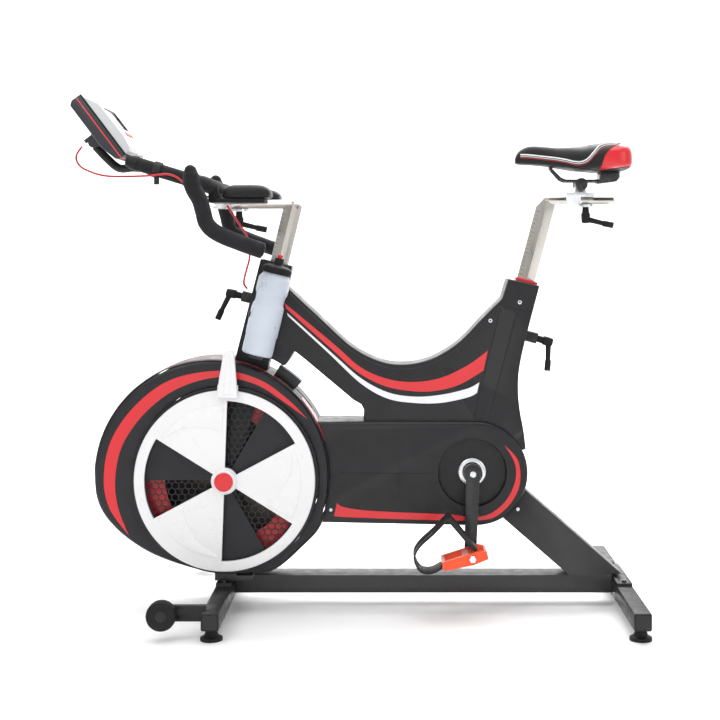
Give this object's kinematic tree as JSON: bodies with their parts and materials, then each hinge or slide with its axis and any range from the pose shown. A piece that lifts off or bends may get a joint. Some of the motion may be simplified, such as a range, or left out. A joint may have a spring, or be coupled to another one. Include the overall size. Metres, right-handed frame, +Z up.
{
  "type": "exercise bike",
  "caption": "Stationary training bike with a housed flywheel, damper disc, drop handlebar with forearm rests and monitor, adjustable saddle, cranks with toe-clip pedals and a drinks bottle.",
  "frame": {"origin": "on the floor at the middle of the bounding box", "axes": "+X towards the saddle end, -X towards the monitor, +Y towards the rider's right, +Z up"},
  "size_m": [1.2812, 0.66, 1.1701],
  "materials": {
    "frame_black": "satin powder coat",
    "cover_black": "satin moulded plastic",
    "housing_grey": "satin moulded plastic",
    "grille_black": "matt",
    "disc_white": "semi-gloss",
    "signal_red": "semi-gloss",
    "brushed_steel": "brushed",
    "dark_metal": "semi-gloss black",
    "chain_steel": "oiled",
    "grip_foam": "dense foam skin",
    "black_rubber": "matt",
    "pedal_orange": "moulded",
    "strap_black": "matt",
    "bottle_translucent": "milky translucent",
    "monitor_grey": "satin",
    "monitor_silver": "satin",
    "zinc_plate": "satin",
    "saddle_vinyl": "soft grained vinyl over foam",
    "cable_red": "smooth sheath"
  },
  "bodies": {
    "base": {"front_stabiliser": "frame_black", "rear_stabiliser": "frame_black", "base_frame": "frame_black", "main_frame": "frame_black", "head_cover": "cover_black", "seat_collar": "signal_red", "body_cover_left": "cover_black", "body_cover_right": "cover_black", "drive_cover_left": "cover_black", "drive_cover_right": "cover_black", "flywheel_cover_left": "housing_grey", "flywheel_cover_right": "housing_grey", "grille_left": "grille_black", "grille_right": "grille_black", "bottle_cage": "grille_black", "primary_chain": "chain_steel", "secondary_chain": "chain_steel", "cable_lower": "cable_red"},
    "cranks": {"crank_axle": "brushed_steel", "crank_left": "dark_metal", "crank_right": "dark_metal"},
    "left_pedal": {"pedal_left": "pedal_orange", "toe_clip_left": "strap_black"},
    "right_pedal": {"pedal_right": "pedal_orange", "toe_clip_right": "strap_black"},
    "jack": {"jack_shaft": "dark_metal"},
    "wheel": {"flywheel": "chain_steel"},
    "damper": {"damper_disc": "disc_white", "damper_cap": "signal_red"},
    "magnet_lever": {"brake_slider": "monitor_grey"},
    "bar_mast": {"handlebar_post": "brushed_steel"},
    "head_clamp": {"head_lever": "black_rubber"},
    "bars": {"handlebar_carriage": "zinc_plate", "handlebar": "grip_foam", "aero_bar_left": "grip_foam", "aero_bar_right": "grip_foam", "monitor_arm": "frame_black", "armrest_left": "saddle_vinyl", "armrest_right": "saddle_vinyl", "cable_front": "cable_red"},
    "bar_clamp": {"handlebar_lever": "black_rubber"},
    "monitor": {"monitor_case": "monitor_grey", "monitor_front": "monitor_silver"},
    "drink": {"bottle": "bottle_translucent", "bottle_cap": "black_rubber"},
    "seat_mast": {"seat_post": "brushed_steel"},
    "seat_clamp": {"seat_lever": "black_rubber"},
    "saddle_block": {"saddle_carriage": "zinc_plate"},
    "saddle_clamp": {"saddle_lever": "black_rubber"},
    "saddle_unit": {"saddle_frame": "dark_metal", "saddle": "saddle_vinyl"},
    "button_1": {"monitor_button_1": "signal_red"},
    "button_2": {"monitor_button_2": "signal_red"},
    "button_3": {"monitor_button_3": "signal_red"},
    "transport_wheel_left": {"wheel_left": "black_rubber"},
    "leveller_front_left": {"foot_front_left": "black_rubber"},
    "leveller_rear_left": {"foot_rear_left": "black_rubber"},
    "transport_wheel_right": {"wheel_right": "black_rubber"},
    "leveller_front_right": {"foot_front_right": "black_rubber"},
    "leveller_rear_right": {"foot_rear_right": "black_rubber"}
  },
  "joints": [
    {"name": "crank_spin", "type": "hinge", "parent": "base", "child": "cranks", "pos_m": [0.273, 0, 0.3126], "axis": [0, -1, 0], "continuous": true},
    {"name": "left_pedal_spin", "type": "hinge", "parent": "cranks", "child": "left_pedal", "pos_m": [0.26707, 0, 0.1427], "axis": [0, -1, 0], "continuous": true},
    {"name": "right_pedal_spin", "type": "hinge", "parent": "cranks", "child": "right_pedal", "pos_m": [0.27893, 0, 0.4825], "axis": [0, -1, 0], "continuous": true},
    {"name": "jack_spin", "type": "hinge", "parent": "base", "child": "jack", "pos_m": [0.045, 0, 0.312], "axis": [0, -1, 0], "continuous": true},
    {"name": "flywheel_spin", "type": "hinge", "parent": "base", "child": "wheel", "pos_m": [-0.286, 0, 0.301], "axis": [0, -1, 0], "continuous": true},
    {"name": "damper_turn", "type": "hinge", "parent": "base", "child": "damper", "pos_m": [-0.286, 0, 0.301], "axis": [0, -1, 0], "range_deg": [-30, 30]},
    {"name": "magnet_lever_turn", "type": "hinge", "parent": "base", "child": "magnet_lever", "pos_m": [-0.318, 0, 0.305], "axis": [0, 1, 0], "range_deg": [0, 16]},
    {"name": "handlebar_height", "type": "slide", "parent": "base", "child": "bar_mast", "axis": [0.2334, 0, 0.9724], "range_m": [-0.045, 0.09], "deforming": ["cable_lower"]},
    {"name": "head_lever_turn", "type": "hinge", "parent": "base", "child": "head_clamp", "pos_m": [-0.25836, 0, 0.71266], "axis": [-0.9724, 0, 0.2334], "range_deg": [0, 90]},
    {"name": "handlebar_reach", "type": "slide", "parent": "bar_mast", "child": "bars", "axis": [1, 0, 0], "range_m": [-0.04, 0.015], "deforming": ["cable_lower"]},
    {"name": "handlebar_lever_turn", "type": "hinge", "parent": "bars", "child": "bar_clamp", "pos_m": [-0.2648, 0, 0.9], "axis": [0, 0, -1], "range_deg": [0, 90]},
    {"name": "monitor_tilt", "type": "hinge", "parent": "bars", "child": "monitor", "pos_m": [-0.60183, 0, 1.06772], "axis": [0, -1, 0], "range_deg": [0, 25], "deforming": ["cable_front"]},
    {"name": "button_1_press", "type": "slide", "parent": "monitor", "child": "button_1", "axis": [-0.7986, 0, -0.6018], "range_m": [0, 0.0015], "stiffness_N_per_m": 400},
    {"name": "button_2_press", "type": "slide", "parent": "monitor", "child": "button_2", "axis": [-0.7986, 0, -0.6018], "range_m": [0, 0.0015], "stiffness_N_per_m": 400},
    {"name": "button_3_press", "type": "slide", "parent": "monitor", "child": "button_3", "axis": [-0.7986, 0, -0.6018], "range_m": [0, 0.0015], "stiffness_N_per_m": 400},
    {"name": "bottle_lift", "type": "slide", "parent": "base", "child": "drink", "axis": [0.2334, 0, 0.9724], "range_m": [0, 0.09]},
    {"name": "seat_height", "type": "slide", "parent": "base", "child": "seat_mast", "axis": [0.2588, 0, 0.9659], "range_m": [-0.1, 0.09]},
    {"name": "seat_lever_turn", "type": "hinge", "parent": "base", "child": "seat_clamp", "pos_m": [0.42593, 0, 0.61404], "axis": [0.9659, 0, -0.2588], "range_deg": [0, 90]},
    {"name": "saddle_setback", "type": "slide", "parent": "seat_mast", "child": "saddle_block", "axis": [1, 0, 0], "range_m": [-0.03, 0.04]},
    {"name": "saddle_lever_turn", "type": "hinge", "parent": "saddle_block", "child": "saddle_clamp", "pos_m": [0.5388, 0, 0.91], "axis": [0, 0, -1], "range_deg": [0, 90]},
    {"name": "saddle_tilt", "type": "hinge", "parent": "saddle_block", "child": "saddle_unit", "pos_m": [0.526, 0, 0.971], "axis": [0, 1, 0], "range_deg": [-12, 12]},
    {"name": "transport_wheel_left_spin", "type": "hinge", "parent": "base", "child": "transport_wheel_left", "pos_m": [-0.392, -0.3145, 0.055], "axis": [0, 1, 0], "continuous": true},
    {"name": "foot_front_left_screw", "type": "slide", "parent": "base", "child": "leveller_front_left", "axis": [0, 0, -1], "range_m": [0, 0.012]},
    {"name": "foot_rear_left_screw", "type": "slide", "parent": "base", "child": "leveller_rear_left", "axis": [0, 0, -1], "range_m": [0, 0.012]},
    {"name": "transport_wheel_right_spin", "type": "hinge", "parent": "base", "child": "transport_wheel_right", "pos_m": [-0.392, 0.3145, 0.055], "axis": [0, 1, 0], "continuous": true},
    {"name": "foot_front_right_screw", "type": "slide", "parent": "base", "child": "leveller_front_right", "axis": [0, 0, -1], "range_m": [0, 0.012]},
    {"name": "foot_rear_right_screw", "type": "slide", "parent": "base", "child": "leveller_rear_right", "axis": [0, 0, -1], "range_m": [0, 0.012]}
  ],
  "couplings": [
    {"joint": "jack_spin", "follows": "crank_spin", "ratio": 3},
    {"joint": "flywheel_spin", "follows": "crank_spin", "ratio": 9}
  ]
}
